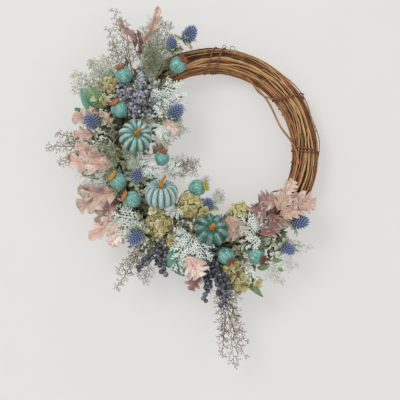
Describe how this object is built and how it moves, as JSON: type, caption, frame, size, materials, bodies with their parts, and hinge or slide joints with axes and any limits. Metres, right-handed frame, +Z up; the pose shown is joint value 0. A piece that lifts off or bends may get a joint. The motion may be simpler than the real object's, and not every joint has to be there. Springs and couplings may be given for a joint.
{
  "type": "harvest door wreath",
  "caption": "Round grapevine ring with a crescent of small pumpkins, seed pods, thistles, berries and leaves, hung on a wall or door by a folding wire bail.",
  "frame": {"origin": "where the wire hanger bears on the nail, at the top of the ring behind it", "axes": "+Z up, +Y into the wall or door, -Y towards the viewer, +X to the viewer's right"},
  "size_m": [0.5908, 0.1436, 0.7773],
  "materials": {
    "vine": "dry bark, matte, with reddish brown, tan and mossy streaks",
    "tendril": "dry tendril, matte",
    "wire": "dark annealed wire, satin",
    "pumpkin_pale": "foam with a brushed teal and white coat",
    "pumpkin_frosted": "foam with a frosted grey-white coat over teal",
    "pumpkin_dark": "foam with a dark teal coat",
    "pumpkin_stem": "moulded stem, ochre and brown",
    "pod": "teal with brushed white streaks and a rust crown",
    "thistle": "fine bristles, slate blue to violet",
    "berry_pale": "dusty blue-grey berries",
    "berry_dark": "dark slate berries with a pale bloom",
    "oak_leaf": "printed cloth leaf, pink to mauve and tan with coral veins",
    "dusty_miller": "flocked white-green leaf",
    "hydrangea": "cloth petals, khaki with pale edges",
    "foliage": "cloth leaf, green and teal",
    "twig": "fine moulded twigs, olive and tan"
  },
  "bodies": {
    "wreath": {"vine_core": "vine", "vine_outside": "vine", "vine_front_outer": "vine", "vine_front_inner": "vine", "vine_inside": "vine", "vine_back_inner": "vine", "vine_back_outer": "vine", "tie_top": "tendril", "tie_upper_right": "tendril", "tie_right": "tendril", "pumpkin_upper": "pumpkin_pale", "pumpkin_middle": "pumpkin_frosted", "pumpkin_lower": "pumpkin_dark", "pumpkin_upper_stem": "pumpkin_stem", "pumpkin_middle_stem": "pumpkin_stem", "pumpkin_lower_stem": "pumpkin_stem", "pod_top_left": "pod", "pod_left_upper": "pod", "pod_top": "pod", "pod_inner": "pod", "pod_left": "pod", "pod_left_lower": "pod", "pod_centre": "pod", "pod_bottom": "pod", "pod_bottom_right": "pod", "thistle_top": "thistle", "thistle_top_inner": "thistle", "thistle_inner_upper": "thistle", "thistle_left_upper": "thistle", "thistle_left": "thistle", "thistle_left_lower": "thistle", "thistle_inner_lower": "thistle", "thistle_right": "thistle", "thistle_bottom_right": "thistle", "berries_upper": "berry_pale", "berries_upper_inner": "berry_pale", "berries_lower": "berry_dark", "berries_bottom": "berry_dark", "berries_bottom_right": "berry_dark", "hydrangea_inner": "hydrangea", "hydrangea_lower": "hydrangea", "hydrangea_bottom": "hydrangea", "oak_leaf_left_upper": "oak_leaf", "oak_leaf_left": "oak_leaf", "oak_leaf_left_lower": "oak_leaf", "oak_leaf_lower": "oak_leaf", "oak_leaf_top": "oak_leaf", "oak_leaf_right": "oak_leaf", "dusty_miller_upper": "dusty_miller", "dusty_miller_lower_left": "dusty_miller", "dusty_miller_bottom": "dusty_miller", "broad_leaf_left": "foliage", "broad_leaf_bottom": "foliage", "twig_spray_top_left": "twig", "twig_spray_left_upper": "twig", "twig_spray_left": "twig", "twig_spray_lower_left": "twig", "twig_spray_bottom": "twig"},
    "bail": {"hanger": "wire"}
  },
  "joints": [
    {"name": "bail_hinge", "type": "hinge", "parent": "wreath", "child": "bail", "pos_m": [0, -0.0101, -0.03625], "axis": [1, 0, 0], "range_deg": [-120, 0]}
  ]
}
